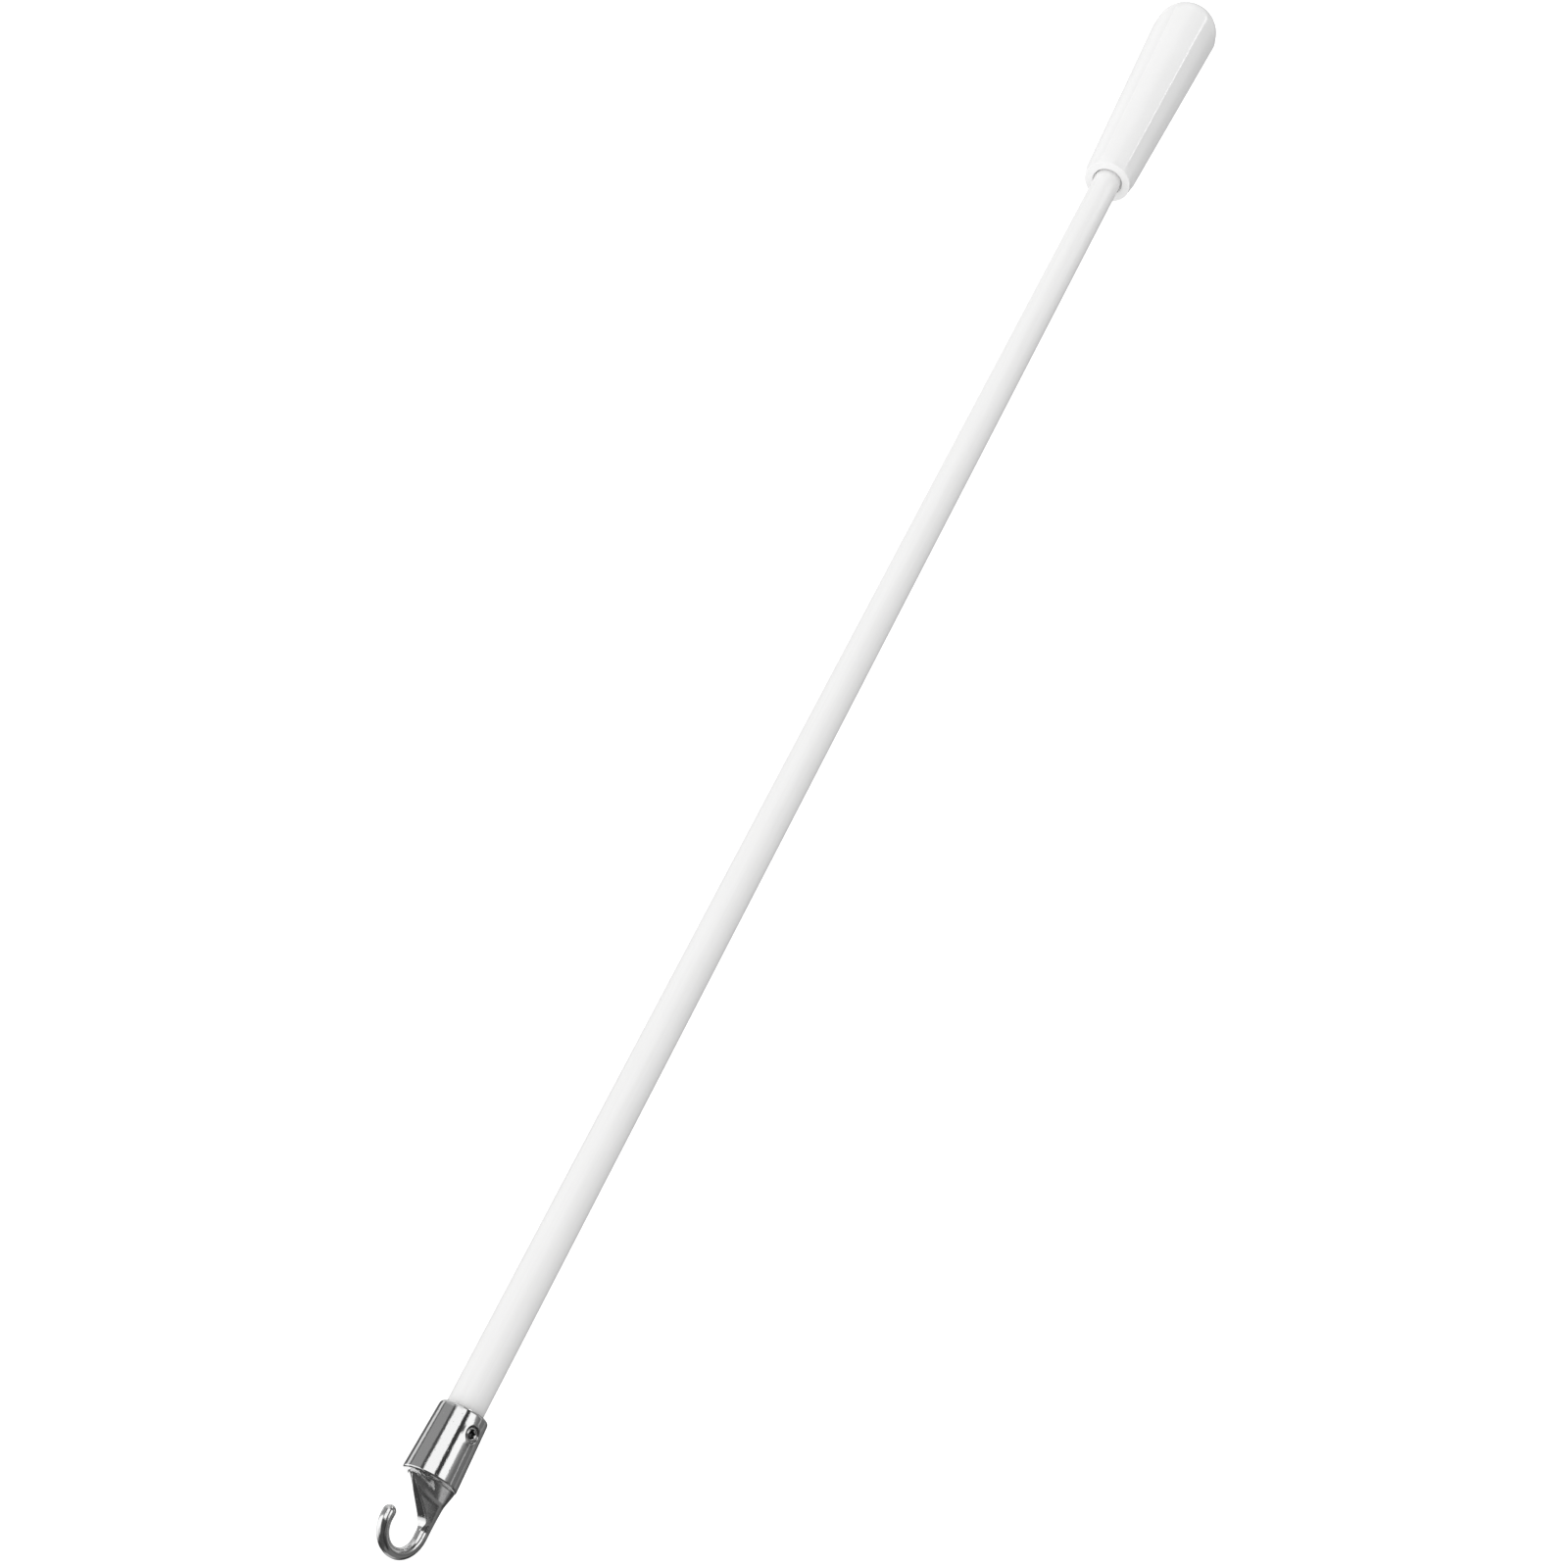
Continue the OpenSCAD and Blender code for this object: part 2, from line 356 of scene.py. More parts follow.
def build_rod():
    around = 96
    edge = 0.4 * MM
    lengthwise = 90
    rings = []
    for angle in arc_steps(0, math.pi / 2, 4):
        r = ROD_R - edge + edge * math.sin(angle)
        rings.append(circle_ring(ROD_AXIS, r, ROD_LOW.z + edge - edge * math.cos(angle), around))
    for z in arc_steps(ROD_LOW.z + edge, ROD_HIGH.z - edge, lengthwise)[1:-1]:
        rings.append(circle_ring(ROD_AXIS, ROD_R, z, around))
    for angle in arc_steps(math.pi / 2, 0, 4):
        r = ROD_R - edge + edge * math.sin(angle)
        rings.append(circle_ring(ROD_AXIS, r, ROD_HIGH.z - edge + edge * math.cos(angle), around))
    bm = bmesh.new()
    tube(bm, rings)
    return finish_mesh(bm, "white_rod", rod_material(), "wand", "rod")


# ---- Grip -----------------------------------------------------------------------

def crowned_section(corner_r, fillet):
    """Outline of a crowned hexagon with rounded corners, as points around the origin."""
    corner = math.pi / GRIP_SIDES
    crown = GRIP_CROWN * corner_r
    half = math.asin(1 / (2 * GRIP_CROWN))
    back = crown * math.cos(half) - corner_r * math.cos(corner)
    reach = back * math.cos(corner)
    corner_centre = math.sqrt((crown - fillet) ** 2 - back ** 2 + reach ** 2) - reach
    to_corner = Vector((back + corner_centre * math.cos(corner), corner_centre * math.sin(corner)))
    tangent = math.atan2(to_corner.y, to_corner.x)
    points = []
    for side in range(GRIP_SIDES):
        facing = GRIP_TURN + TAU * (side + 0.5) / GRIP_SIDES
        for angle in arc_steps(-tangent, tangent, GRIP_FACET_STEPS):
            x = crown * math.cos(angle) - back
            y = crown * math.sin(angle)
            points.append((x, y, facing))
        for angle in arc_steps(tangent, 2 * corner - tangent, GRIP_FILLET_STEPS)[1:-1]:
            x = corner_centre * math.cos(corner) + fillet * math.cos(angle)
            y = corner_centre * math.sin(corner) + fillet * math.sin(angle)
            points.append((x, y, facing))
    return [
        Vector((x * math.cos(f) - y * math.sin(f), x * math.sin(f) + y * math.cos(f)))
        for x, y, f in points
    ]


def grip_ring(depth, corner_r, round_share, fillet=GRIP_CORNER_FILLET):
    """Section of the grip at a depth from its mouth; round_share 1 makes it a circle."""
    ring = []
    for point in crowned_section(corner_r, fillet):
        flat = point.lerp(point.normalized() * corner_r, round_share)
        ring.append(Vector((ROD_AXIS.x + flat.x, ROD_AXIS.y + flat.y, MOUTH_Z - depth)))
    return ring


def build_grip():
    dome_start = GRIP_LENGTH - GRIP_END_R
    hole_r = ROD_R + BOND_GAP
    inner_edge = 0.25 * MM
    rings = [
        grip_ring(ROD_HOLE_DEPTH, hole_r * 0.5, 1),
        grip_ring(ROD_HOLE_DEPTH, hole_r, 1),
    ]
    for depth in arc_steps(ROD_HOLE_DEPTH, MOUTH_DEPTH, 12)[1:]:
        rings.append(grip_ring(depth, hole_r, 1))
    for share in arc_steps(0, 1, 8)[1:]:
        depth = MOUTH_DEPTH + (inner_edge - MOUTH_DEPTH) * share
        rings.append(grip_ring(depth, hole_r + (MOUTH_R - hole_r) * math.sin(share * math.pi / 2), 1))
    for angle in arc_steps(0, math.pi / 2, 4)[1:]:
        r = MOUTH_R + inner_edge * (1 - math.cos(angle))
        rings.append(grip_ring(inner_edge * (1 - math.sin(angle)), r, 1))
    for r in arc_steps(MOUTH_R + inner_edge, LIP_R - LIP_ROUND, 4)[1:]:
        rings.append(grip_ring(0, r, 1))
    for angle in arc_steps(0, math.pi / 2, 5)[1:]:
        r = LIP_R - LIP_ROUND + LIP_ROUND * math.sin(angle)
        rings.append(grip_ring(LIP_ROUND * (1 - math.cos(angle)), r, 1))
    for share in arc_steps(0, 1, 14)[1:]:
        depth = LIP_ROUND + (COLLAR_H - LIP_ROUND) * share
        rings.append(grip_ring(depth, LIP_R + (GRIP_TOP_R - LIP_R) * share, 1 - share))
    for share in arc_steps(0, 1, 60)[1:]:
        depth = COLLAR_H + (dome_start - COLLAR_H) * share
        rings.append(grip_ring(depth, GRIP_TOP_R + (GRIP_END_R - GRIP_TOP_R) * share, 0))
    for angle in arc_steps(0, math.pi / 2 * 0.985, 36)[1:]:
        rise = GRIP_END_R * math.sin(angle)
        r = GRIP_END_R * math.cos(angle)
        fillet = GRIP_CORNER_FILLET * math.cos(angle)
        rings.append(grip_ring(dome_start + rise, r, smooth_share(rise / CORNER_FADE_H), fillet))
    bm = bmesh.new()
    tube(bm, rings)
    return finish_mesh(bm, "hand_grip", grip_material(), "wand", "grip")


# ---- Hook ferrule ----------------------------------------------------------------

def ferrule_wall_r(z):
    """Outer radius of the ferrule's tapered wall."""
    return FERRULE_RIM_R + (BASE_R - FERRULE_RIM_R) * (z - RIM_Z) / FERRULE_LENGTH


def hook_ring(centre_x, r, z):
    """Round ring. Column 0 faces the shank's outer side, and columns turn towards -Y and back."""
    return [
        Vector((centre_x - r * math.cos(TAU * j / HOOK_AROUND), r * math.sin(TAU * j / HOOK_AROUND), z))
        for j in range(HOOK_AROUND)
    ]


def wire_ring(centre, outward, r):
    """Ring of the hook's wire about a centre, with column 0 facing outward in the XZ plane."""
    return [
        centre + outward * (r * math.cos(TAU * j / HOOK_AROUND))
        + Vector((0, 1, 0)) * (r * math.sin(TAU * j / HOOK_AROUND))
        for j in range(HOOK_AROUND)
    ]


def neck_radius(height):
    """Radius of the shoulder's round part at a height above the ferrule's base."""
    foot_r = BASE_R - FOOT_INSET
    flare = foot_r + (NECK_R - foot_r) * height / FLARE_H
    left = min(1.0, (TAPER_H - height) / (TAPER_H - FLARE_H))
    neck = WIRE_R + (NECK_R - WIRE_R) * left ** NECK_EASE
    return -soft_min(-flare, -neck, NECK_BLEND)


def closed_side_x(height):
    """Back of the shoulder, from the ferrule's base edge to the back of the shank."""
    foot_x = FERRULE_X - BASE_R
    share = height / TAPER_H
    return foot_x + (-EYE_OUTER_R - foot_x) * share + 4 * SIDE_DIP * share * (1 - share)


def web_edge(height):
    """The flat edge of the web between neck and ferrule: its x and half width."""
    foot_x = FERRULE_X + BASE_R - WEB_INSET
    inner_x = WIRE_R - EYE_R
    share = (height - WEB_FOOT) / (WEB_H - WEB_FOOT)
    x = foot_x + (inner_x - foot_x) * share
    x = -soft_min(-x, -inner_x, WEB_TOP_BLEND)
    half_width = WEB_W / 2 * math.sqrt(min(1.0, max(share, (WEB_MIN_W / WEB_W) ** 2)))
    half_width *= 1 - smooth_share((height - WEB_H) / (TAPER_H - WEB_H))
    return soft_min(x, foot_x - BASE_ROUND / 4, WEB_BLEND), half_width


def corner_rounding(height):
    """Rounding of the web's near and far corners, which fades out where the wire begins."""
    low, high = ROUND_GROWTH
    growth = smooth_share((height - low) / (high - low))
    fade = max(0.01, 1 - smooth_share((height - ROUND_FADE_FROM) / (TAPER_H - ROUND_FADE_FROM)))
    near = WEB_EDGE + (WEB_NEAR_ROUND - WEB_EDGE) * growth
    return near * fade, WEB_FAR_EDGE * fade


def webbed_ring(height):
    """Section of the shoulder: a circle drawn out to the web's edge, with rounded corners."""
    r = neck_radius(height)
    neck_x = closed_side_x(height) + r
    edge_x, half_width = web_edge(height)
    reach = edge_x - neck_x
    far = math.hypot(reach, half_width)
    near_round, far_round = corner_rounding(height)
    ring = []
    for j in range(HOOK_AROUND):
        angle = math.pi - TAU * j / HOOK_AROUND
        along, across = math.cos(angle), abs(math.sin(angle))
        distance = r
        if far > r:
            lean = math.atan2(half_width, reach) + math.acos(r / far)
            touch = math.cos(lean) * along + math.sin(lean) * across
            if math.atan2(across, along) < lean:
                distance = r / touch
        if along > 0:
            rounding = near_round if angle < 0 else far_round
            distance = soft_min(distance, reach / along, rounding)
        ring.append(Vector((neck_x + distance * along, distance * math.sin(angle), BASE_Z + height)))
    return ring


def shoulder_rings(start):
    """The shoulder from the end of the ferrule's rounded base edge to the hook's wire."""
    return [webbed_ring(height) for height in arc_steps(start, TAPER_H, 84)]


def wire_rings():
    """The hook's wire from the shank round the eye to its rounded tip."""
    rings = []
    shank_start = BASE_Z + TAPER_H
    for z in arc_steps(shank_start, 0, 5)[1:-1]:
        rings.append(wire_ring(Vector((-EYE_R, 0, z)), Vector((-1, 0, 0)), WIRE_R))
    for angle in arc_steps(math.pi, 0, 84):
        outward = Vector((math.cos(angle), 0, math.sin(angle)))
        r = WIRE_R + (CROWN_WIRE_R - WIRE_R) * math.sin(angle)
        rings.append(wire_ring(outward * (EYE_OUTER_R - r), outward, r))
    straight = TIP_LENGTH - WIRE_R
    tip = Vector((EYE_R, 0, -straight))
    for z in arc_steps(0, -straight, 4)[1:]:
        rings.append(wire_ring(Vector((EYE_R, 0, z)), Vector((1, 0, 0)), WIRE_R))
    for angle in arc_steps(0, math.pi / 2 * 0.96, 14)[1:]:
        centre = tip - Vector((0, 0, WIRE_R * math.sin(angle)))
        rings.append(wire_ring(centre, Vector((1, 0, 0)), WIRE_R * math.cos(angle)))
    return rings


HOLE_CELLS = 11                # half width of the hole's patch of quads, in cells
PATCH_CELLS = 20               # half width of the patch that bends round the hole
CELL = TAU * 1.38 * ROD_R / HOOK_AROUND   # column spacing on the wall beside the screw
HOLE_COLUMN = HOOK_AROUND * 3 // 4


def wall_heights(low, high):
    """Heights for a wall's rings: even cells beside the screw hole, and even steps elsewhere."""
    patch_low = SCREW_Z - PATCH_CELLS * CELL
    patch_high = SCREW_Z + PATCH_CELLS * CELL
    below = max(1, round((patch_low - low) / CELL / 2))
    above = max(1, round((high - patch_high) / CELL / 2))
    heights = arc_steps(low, patch_low, below)
    heights += arc_steps(patch_low, patch_high, 2 * PATCH_CELLS)[1:]
    heights += arc_steps(patch_high, high, above)[1:]
    return heights, below + PATCH_CELLS


def bend_round_hole(rings, first, middle, wall_r, hole_r):
    """Moves the rings' points beside the screw hole so that the hole's edge is a circle."""
    for i in range(middle - PATCH_CELLS, middle + PATCH_CELLS + 1):
        for j in range(HOLE_COLUMN - PATCH_CELLS, HOLE_COLUMN + PATCH_CELLS + 1):
            cells = max(abs(i - middle), abs(j - HOLE_COLUMN))
            if cells < HOLE_CELLS or cells == PATCH_CELLS:
                continue
            point = rings[first + i][j]
            across = point.x - FERRULE_X
            up = point.z - SCREW_Z
            distance = math.hypot(across, up)
            share = (cells - HOLE_CELLS) / (PATCH_CELLS - HOLE_CELLS)
            wanted = hole_r + (distance - hole_r) * share
            across *= wanted / distance
            up *= wanted / distance
            r = wall_r(SCREW_Z + up)
            depth = -math.sqrt(r * r - across * across)
            rings[first + i][j] = Vector((FERRULE_X + across, depth, SCREW_Z + up))


def hole_loop(first, middle):
    """The hole's edge as a list of (ring, column), in order."""
    low, high = middle - HOLE_CELLS, middle + HOLE_CELLS
    left, right = HOLE_COLUMN - HOLE_CELLS, HOLE_COLUMN + HOLE_CELLS
    loop = [(low, j) for j in range(left, right)]
    loop += [(i, right) for i in range(low, high)]
    loop += [(high, j) for j in range(right, left, -1)]
    loop += [(i, left) for i in range(high, low, -1)]
    return [(first + i, j) for i, j in loop]


def casting_relief(point):
    """Height of the casting's soft waves at a point, in metres."""
    coarse = noise.noise(point * 420)
    fine = noise.noise(point * 1500 + Vector((7, 3, 1)))
    return (coarse * 0.012 + fine * 0.003) * MM


def build_hook_ferrule():
    rings = []
    floor_z = RIM_Z + SOCKET_DEPTH
    inner_edge = 0.3 * MM
    for r in (SOCKET_R * 0.35, SOCKET_R * 0.7, SOCKET_R):
        rings.append(hook_ring(FERRULE_X, r, floor_z))
    bore_heights, bore_middle = wall_heights(RIM_Z + inner_edge, floor_z)
    bore_first = len(rings)
    bore_rings = [hook_ring(FERRULE_X, SOCKET_R, z) for z in bore_heights]
    rings += bore_rings[:-1][::-1]
    bore_middle_ring = bore_first + len(bore_heights) - 2 - bore_middle
    for angle in arc_steps(0, math.pi / 2, 4)[1:]:
        r = SOCKET_R + inner_edge * (1 - math.cos(angle))
        rings.append(hook_ring(FERRULE_X, r, RIM_Z + inner_edge * (1 - math.sin(angle))))
    for angle in arc_steps(0, math.pi / 2, 9):
        r = FERRULE_RIM_R - RIM_ROUND * (1 - math.sin(angle))
        rings.append(hook_ring(FERRULE_X, r, RIM_Z + RIM_ROUND * (1 - math.cos(angle))))
    wall_low, wall_high = RIM_Z + RIM_ROUND, BASE_Z - BASE_EDGE_H
    heights, wall_middle = wall_heights(wall_low, wall_high)
    wall_first = len(rings) - 1
    rings += [hook_ring(FERRULE_X, ferrule_wall_r(z), z) for z in heights[1:]]
    wall_last = len(rings)
    wall_r = ferrule_wall_r(wall_high)
    profile = [
        (wall_r - BASE_ROUND * (1 - math.cos(a)), BASE_ROUND * math.sin(a) - BASE_EDGE_H)
        for a in arc_steps(0, math.radians(80), 8)[1:]
    ]
    step_r, step_h = profile[-1]
    profile.append((step_r - BASE_STEP * 0.6, step_h + STEP_RISE * 0.6))
    profile.append((step_r - BASE_STEP, step_h + STEP_RISE * 1.3))
    for r, height in profile:
        rings.append(hook_ring(FERRULE_X - wall_r + r, r, BASE_Z + height))
    rings += shoulder_rings(profile[-1][1] + STEP_FILLET)
    rings += wire_rings()

    outer_edge_r = HOLE_R + HOLE_EDGE
    bend_round_hole(rings, wall_first, wall_middle, ferrule_wall_r, outer_edge_r)
    bend_round_hole(rings, bore_middle_ring, 0, lambda z: SOCKET_R, HOLE_R)
    outer_loop = hole_loop(wall_first, wall_middle)
    inner_loop = hole_loop(bore_middle_ring, 0)
    inner_loop = [(2 * bore_middle_ring - i, j) for i, j in inner_loop]

    raise_hole_lip(rings, wall_first, wall_last)
    raise_waves(rings, wall_first)

    bm = bmesh.new()
    made = [[bm.verts.new(point) for point in ring] for ring in rings]
    inside = range(-HOLE_CELLS, HOLE_CELLS)
    skip = {(wall_first + wall_middle + i, HOLE_COLUMN + j) for i in inside for j in inside}
    skip |= {(bore_middle_ring + i, HOLE_COLUMN + j) for i in inside for j in inside}
    ring_faces(bm, made, skip)
    cap(bm, made[0])
    cap(bm, made[-1])
    line_screw_hole(bm, [made[i][j] for i, j in outer_loop], [made[i][j] for i, j in inner_loop])
    loose = [v for v in bm.verts if not v.link_faces]
    bmesh.ops.delete(bm, geom=loose, context="VERTS")
    return finish_mesh(bm, "cast_hook_ferrule", chrome_material(), "hook", "hook_ferrule")


def raise_hole_lip(rings, first, last):
    """Metal raised round the screw hole where it was drilled."""
    for i in range(first, last):
        for j, point in enumerate(rings[i]):
            distance = math.hypot(point.x - FERRULE_X, point.z - SCREW_Z)
            if point.y < 0 and distance < HOLE_R + 5 * HOLE_LIP_W:
                share = math.exp(-((distance - HOLE_R - HOLE_EDGE) / HOLE_LIP_W) ** 2)
                out = Vector((point.x - FERRULE_X, point.y, 0)).normalized()
                rings[i][j] = point + out * HOLE_LIP * share


def raise_waves(rings, first):
    """Soft casting waves on every outer surface of the ferrule and hook."""
    for i in range(first, len(rings)):
        middle = sum(rings[i], Vector()) / len(rings[i])
        for j, point in enumerate(rings[i]):
            out = (point - middle).normalized()
            rings[i][j] = point - out * abs(casting_relief(point))


def line_screw_hole(bm, outer, inner):
    """Wall of the screw's hole, from its rounded edge to the socket."""
    previous = outer
    centre = Vector((FERRULE_X, 0, SCREW_Z))
    for angle in arc_steps(0, math.pi / 2, 4)[1:]:
        ring = []
        for vert in outer:
            across = Vector((vert.co.x - centre.x, 0, vert.co.z - centre.z))
            r = HOLE_R + HOLE_EDGE * (1 - math.sin(angle))
            depth = vert.co.y + HOLE_EDGE * (1 - math.cos(angle))
            place = centre + across.normalized() * r
            ring.append(bm.verts.new((place.x, depth, place.z)))
        join_loops(bm, previous, ring)
        previous = ring
    join_loops(bm, previous, inner)


def join_loops(bm, a, b):
    for j in range(len(a)):
        k = (j + 1) % len(a)
        bm.faces.new((a[j], a[k], b[k], b[j]))


# ---- Set screw -------------------------------------------------------------------

def build_set_screw():
    """Short hex-socket set screw along -Y, with a rolled thread, a bevelled end and a cup point."""
    around = 48
    inner = -SCREW_HIGH.y
    outer = -SCREW_LOW.y
    chamfer = 0.12 * MM
    bevel = math.radians(22)
    pitch = 0.7 * MM
    thread_depth = 0.3 * MM
    key_depth = 1.4 * MM
    cup_r = 1.0 * MM
    cup_depth = 0.45 * MM
    drill_tip_r = 0.2 * MM
    drill_tip_h = 0.2 * MM
    key_edge = 0.1 * MM

    def place(distance, r, angle):
        return Vector((FERRULE_X + r * math.cos(angle), -distance, SCREW_Z + r * math.sin(angle)))

    def ring(distance, radius, hexagon=False):
        points = []
        for j in range(around):
            angle = TAU * j / around
            r = radius
            if hexagon:
                sector = (angle + math.pi / 6) % (math.pi / 3) - math.pi / 6
                r = radius * math.cos(math.pi / 6) / math.cos(sector)
            points.append(place(distance, r, angle))
        return points

    def thread_ring(distance):
        points = []
        for j in range(around):
            angle = TAU * j / around
            phase = (distance / pitch + j / around) % 1.0
            groove = thread_depth * (1 - abs(2 * phase - 1))
            end = min(distance - inner, outer - distance)
            limit = SCREW_R - max(0.0, chamfer - end)
            r = min(limit, SCREW_R - groove * smooth_share(end / chamfer))
            points.append(place(distance, r, angle))
        return points

    land_r = KEY_R + key_edge
    bevel_depth = (SCREW_R - chamfer - land_r) * math.tan(bevel)
    thread_end = outer - bevel_depth - chamfer / 2
    rings = [
        ring(inner + cup_depth, drill_tip_r),
        ring(inner, cup_r),
        ring(inner, SCREW_R - chamfer),
    ]
    rings += [thread_ring(d) for d in arc_steps(inner + 0.04 * MM, thread_end, 44)]
    rings += [
        ring(outer - bevel_depth, SCREW_R - chamfer),
        ring(outer - key_edge / 5, land_r + key_edge / 2),
        ring(outer, land_r),
        ring(outer - key_edge, KEY_R + key_edge / 5),
        ring(outer - 2 * key_edge, KEY_R, hexagon=True),
        ring(outer - key_depth, KEY_R, hexagon=True),
        ring(outer - key_depth - drill_tip_h, drill_tip_r),
    ]
    bm = bmesh.new()
    tube(bm, rings)
    return finish_mesh(bm, "hex_set_screw", screw_material(), "screw", "set_screw")


# ---- Studio ----------------------------------------------------------------------

CAMERA_AZIMUTH = 39.77
CAMERA_ELEVATION = 31.13
CAMERA_ROLL = -152.27
CAMERA_DISTANCE = 598.6 * MM
CAMERA_TARGET = Vector((1.57, 1.31, -222.5)) * MM
CAMERA_LENS = 48.6

# Soft boxes and dark cards that metal and gloss reflect, later ones in front. Each has the
# angle to the right of the camera, the elevation, half its width and height and the softness
# of its edge, all in degrees, and its brightness.
SURROUND = 0.19
REFLECTED = (
    (0, 75, 180, 27, 14, 0.07),      # dim ceiling
    (0, -78, 180, 20, 12, 0.45),     # pale floor
    (145, 52, 36, 13, 12, 0.55),     # pale wall, high on the right
    (85, 58, 30, 17, 10, 0.18),      # its dimmer edge
    (10, 35, 45, 32, 20, 0.075),     # dark card, above the camera
    (-100, 20, 48, 20, 6, 1.35),     # large box, upper left
    (-84, 43, 40, 9, 12, 0.9),       # its raised middle
    (-153, 50, 27, 17, 5, 0.05),     # dark card, above the large box
    (-159, 26, 9, 14, 5, 0.04),      # dark card, beside it
    (-107, -42, 50, 40, 8, 0.58),    # pale wall, left
    (-150, -52, 34, 14, 10, 0.95),   # bright table, far left
    (-80, -12, 26, 9, 4, 0.35),      # grey strip, left
    (-145, -12, 12, 10, 4, 0.14),    # dark gap, far left
    (-124, -12, 7, 10, 3, 0.9),      # strip light, far left
    (-109, -12, 4, 10, 3, 0.12),     # dark gap beside it
    (-49, -13, 6, 9, 5, 0.09),       # dark card, left
    (-50, -45, 22, 12, 8, 1.0),      # low box, left
    (-17, -12, 24, 19, 6, 1.25),     # box below the camera
    (-32, -42, 18, 18, 10, 0.85),    # its lower end
    (15.2, -25, 9.6, 25, 4, 0.05),   # dark card, centre
    (50, -16, 14, 12, 22, 0.4),      # glow beside the small box
    (39, -16, 15, 12, 7, 1.3),       # small box, right
    (50, 22, 22, 20, 8, 0.045),      # dark card, upper right
    (52, 10, 6, 5, 4, 0.2),          # gap in it
    (110, -5, 45, 6, 6, 0.13),       # dim strip, right
    (133, 15, 25, 12, 10, 0.055),    # dark card, far right
    (121, -16, 5, 6, 5, 0.3),        # faint strip, far right
    (160, -12, 12, 12, 4, 0.06),     # dark gap, far right
    (140, -45, 35, 16, 10, 0.27),    # dim wall, far right
    (90, -42, 11, 14, 10, 0.6),      # low strip light, right
    (88, -16, 3, 10, 3, 0.5),        # its narrow top
    (180, 12, 14, 22, 10, 1.2),      # backdrop behind the wand
)
KEY_SIDE = -57                 # degrees to the right of the camera, so this one is on the left
KEY_ELEVATION = 10
FILL_LEVEL = 0.725
KEY_LEVEL = 0.37
POLE_LEVEL = 0.5               # extra light along the wand, from both ends
FLOOR_GAP = 350 * MM
FLOOR_R = 6000 * MM
LAMP_SIDE = 43.5               # degrees to the right of the camera, seen from the grip
LAMP_ELEVATION = -49.0
LAMP_DISTANCE = 300 * MM
LAMP_HALF_WIDTH = 0.28         # over the distance
LAMP_HALF_HEIGHT = 0.25
LAMP_LEVEL = 3.2


def view_back(azimuth, elevation):
    """Direction from the target towards the camera."""
    a, e = math.radians(azimuth), math.radians(elevation)
    return Vector((math.sin(a) * math.cos(e), -math.cos(a) * math.cos(e), math.sin(e)))


def add_camera():
    data = bpy.data.cameras.new("photo_camera")
    data.lens = CAMERA_LENS
    data.sensor_width = 36
    data.clip_start = 0.01
    camera = bpy.data.objects.new("photo_camera", data)
    back = view_back(CAMERA_AZIMUTH, CAMERA_ELEVATION)
    camera.location = CAMERA_TARGET + back * CAMERA_DISTANCE
    camera.rotation_mode = "QUATERNION"
    roll = Quaternion((0, 0, 1), math.radians(CAMERA_ROLL))
    camera.rotation_quaternion = (-back).to_track_quat("-Z", "Y") @ roll
    bpy.context.scene.collection.objects.link(camera)
    bpy.context.scene.camera = camera


def add_floor():
    """Plain pale floor, well below the hanging wand."""
    bm = bmesh.new()
    bmesh.ops.create_circle(bm, cap_ends=True, radius=FLOOR_R, segments=96)
    mesh = bpy.data.meshes.new("floor")
    bm.to_mesh(mesh)
    bm.free()
    floor = bpy.data.objects.new("floor", mesh)
    floor.location = (0, 0, GRIP_LOW.z - FLOOR_GAP)
    material, n = new_material("pale_floor")
    shade = n.mix(n.noise(3.0), grey(0.9), grey(0.92))
    surface_output(n, {"Base Color": shade, "Roughness": 0.8,
                       "Emission Color": grey(1.0), "Emission Strength": 0.3})
    mesh.materials.append(material)
    bpy.context.scene.collection.objects.link(floor)
    floor.visible_glossy = False
    floor.visible_diffuse = False


def add_grip_lamp():
    """Soft lamp low beside the grip: it only shows as a line of light on the grip's corner."""
    aim = view_back(CAMERA_AZIMUTH - LAMP_SIDE, LAMP_ELEVATION)
    bm = bmesh.new()
    bmesh.ops.create_grid(bm, x_segments=1, y_segments=1, size=1.0)
    mesh = bpy.data.meshes.new("grip_lamp")
    bm.to_mesh(mesh)
    bm.free()
    lamp = bpy.data.objects.new("grip_lamp", mesh)
    lamp.location = Vector((0, 0, (GRIP_LOW.z + GRIP_HIGH.z) / 2)) + aim * LAMP_DISTANCE
    lamp.rotation_mode = "QUATERNION"
    lamp.rotation_quaternion = aim.to_track_quat("Z", "Y")
    lamp.scale = (LAMP_DISTANCE * LAMP_HALF_WIDTH, LAMP_DISTANCE * LAMP_HALF_HEIGHT, 1)
    material, n = new_material("lamp_glow")
    glow = n.add("ShaderNodeEmission", {"Color": grey(1.0), "Strength": LAMP_LEVEL})
    n.add("ShaderNodeOutputMaterial", {"Surface": glow.outputs[0]})
    mesh.materials.append(material)
    bpy.context.scene.collection.objects.link(lamp)
    lamp.visible_camera = False
    lamp.visible_diffuse = False
    lamp.visible_shadow = False


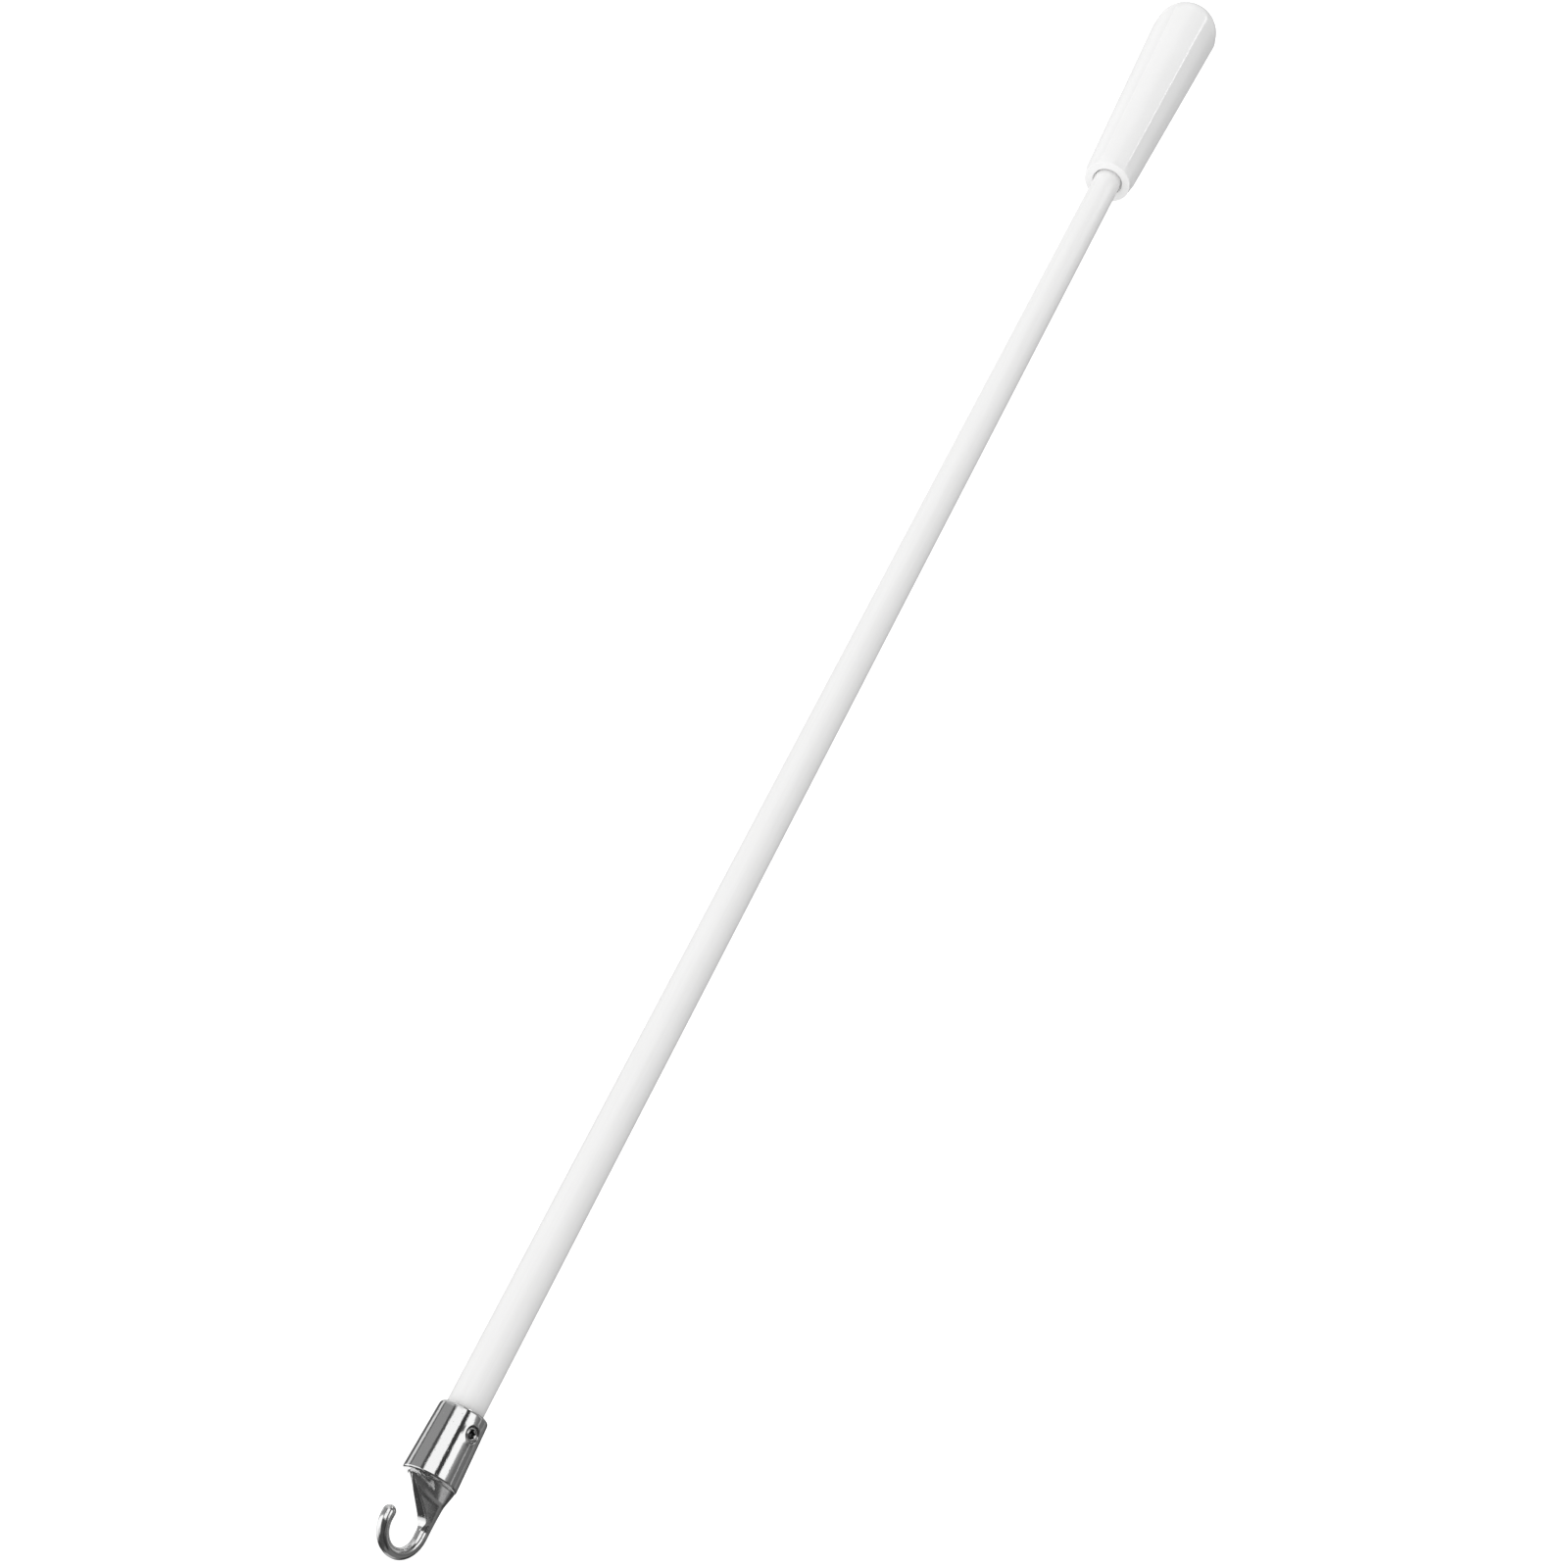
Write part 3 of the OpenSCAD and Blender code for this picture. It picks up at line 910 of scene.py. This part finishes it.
def reflected_level(n, direction):
    """Brightness that metal and gloss see in a direction."""
    parts = n.add("ShaderNodeSeparateXYZ", {"Vector": direction})
    heading = n.math("MULTIPLY", n.math("ARCTAN2", parts.outputs[1], parts.outputs[0]), 180 / math.pi)
    angle = n.math("SUBTRACT", CAMERA_AZIMUTH - 90, heading)
    elevation = n.math("MULTIPLY", n.math("ARCSINE", parts.outputs[2]), 180 / math.pi)
    level = SURROUND
    for centre, height, half_width, half_height, soft, brightness in REFLECTED:
        turn = n.math("ABSOLUTE", n.math("WRAP", n.math("SUBTRACT", angle, centre), 180.0, -180.0))
        rise = n.math("ABSOLUTE", n.math("SUBTRACT", elevation, height))
        beyond_side = n.math("SUBTRACT", turn, half_width)
        beyond_end = n.math("SUBTRACT", rise, half_height)
        beyond = n.math("MAXIMUM", beyond_side, beyond_end)
        share = n.span(beyond, -soft / 2, soft / 2, 1.0, 0.0, smooth=True)
        level = n.math("MULTIPLY_ADD", share, n.math("SUBTRACT", brightness, level), level)
    return level


def add_world():
    """White surround. Gloss sees the soft boxes, and matt surfaces a broad light from the left."""
    world = bpy.data.worlds.new("studio")
    world.use_nodes = True
    bpy.context.scene.world = world
    n = Nodes(world.node_tree)
    direction = n.add("ShaderNodeTexCoord").outputs["Generated"]
    glossy = reflected_level(n, direction)
    key = view_back(CAMERA_AZIMUTH - KEY_SIDE, KEY_ELEVATION)
    facing = n.add("ShaderNodeVectorMath", {0: direction, 1: key}, operation="DOT_PRODUCT")
    matt = n.math("MULTIPLY_ADD", facing.outputs["Value"], KEY_LEVEL, FILL_LEVEL)
    up = n.add("ShaderNodeSeparateXYZ", {"Vector": direction}).outputs[2]
    matt = n.math("MULTIPLY_ADD", n.math("MULTIPLY", up, up), POLE_LEVEL, matt)
    path = n.add("ShaderNodeLightPath")
    level = n.mix(path.outputs["Is Glossy Ray"], matt, glossy)
    level = n.mix(path.outputs["Is Camera Ray"], level, grey(1.1))
    shade = n.add("ShaderNodeBackground", {"Color": level, "Strength": 1.0})
    n.add("ShaderNodeOutputWorld", {"Surface": shade.outputs[0]})


def set_view():
    bpy.context.scene.view_settings.view_transform = "Standard"
    bpy.context.scene.view_settings.look = "None"


build_rod()
build_grip()
build_hook_ferrule()
build_set_screw()
add_floor()
add_grip_lamp()
add_world()
add_camera()
set_view()
